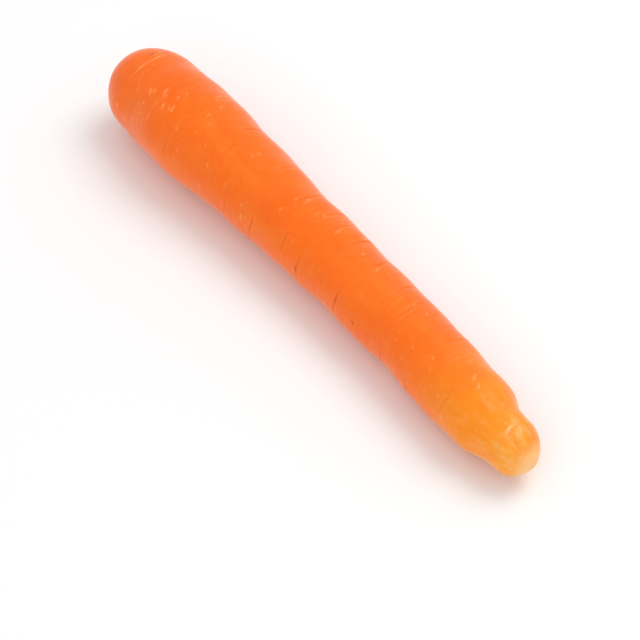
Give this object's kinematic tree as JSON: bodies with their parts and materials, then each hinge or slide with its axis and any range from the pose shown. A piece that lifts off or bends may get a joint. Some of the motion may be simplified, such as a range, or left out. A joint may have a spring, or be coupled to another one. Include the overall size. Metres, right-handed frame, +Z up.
{
  "type": "carrot",
  "caption": "Whole washed carrot root without leaves, lying on its side: round shoulder, slow taper, cross creases and a blunt knobbed tip.",
  "frame": {"origin": "on the surface that the carrot lies on, under the middle of its box", "axes": "+X along the root from its crown to its tip, +Y towards the side that the root bows to, +Z up"},
  "size_m": [0.1868, 0.0296, 0.0292],
  "materials": {
    "carrot_skin": "satin"
  },
  "bodies": {
    "root": {"carrot_root": "carrot_skin"}
  },
  "joints": []
}
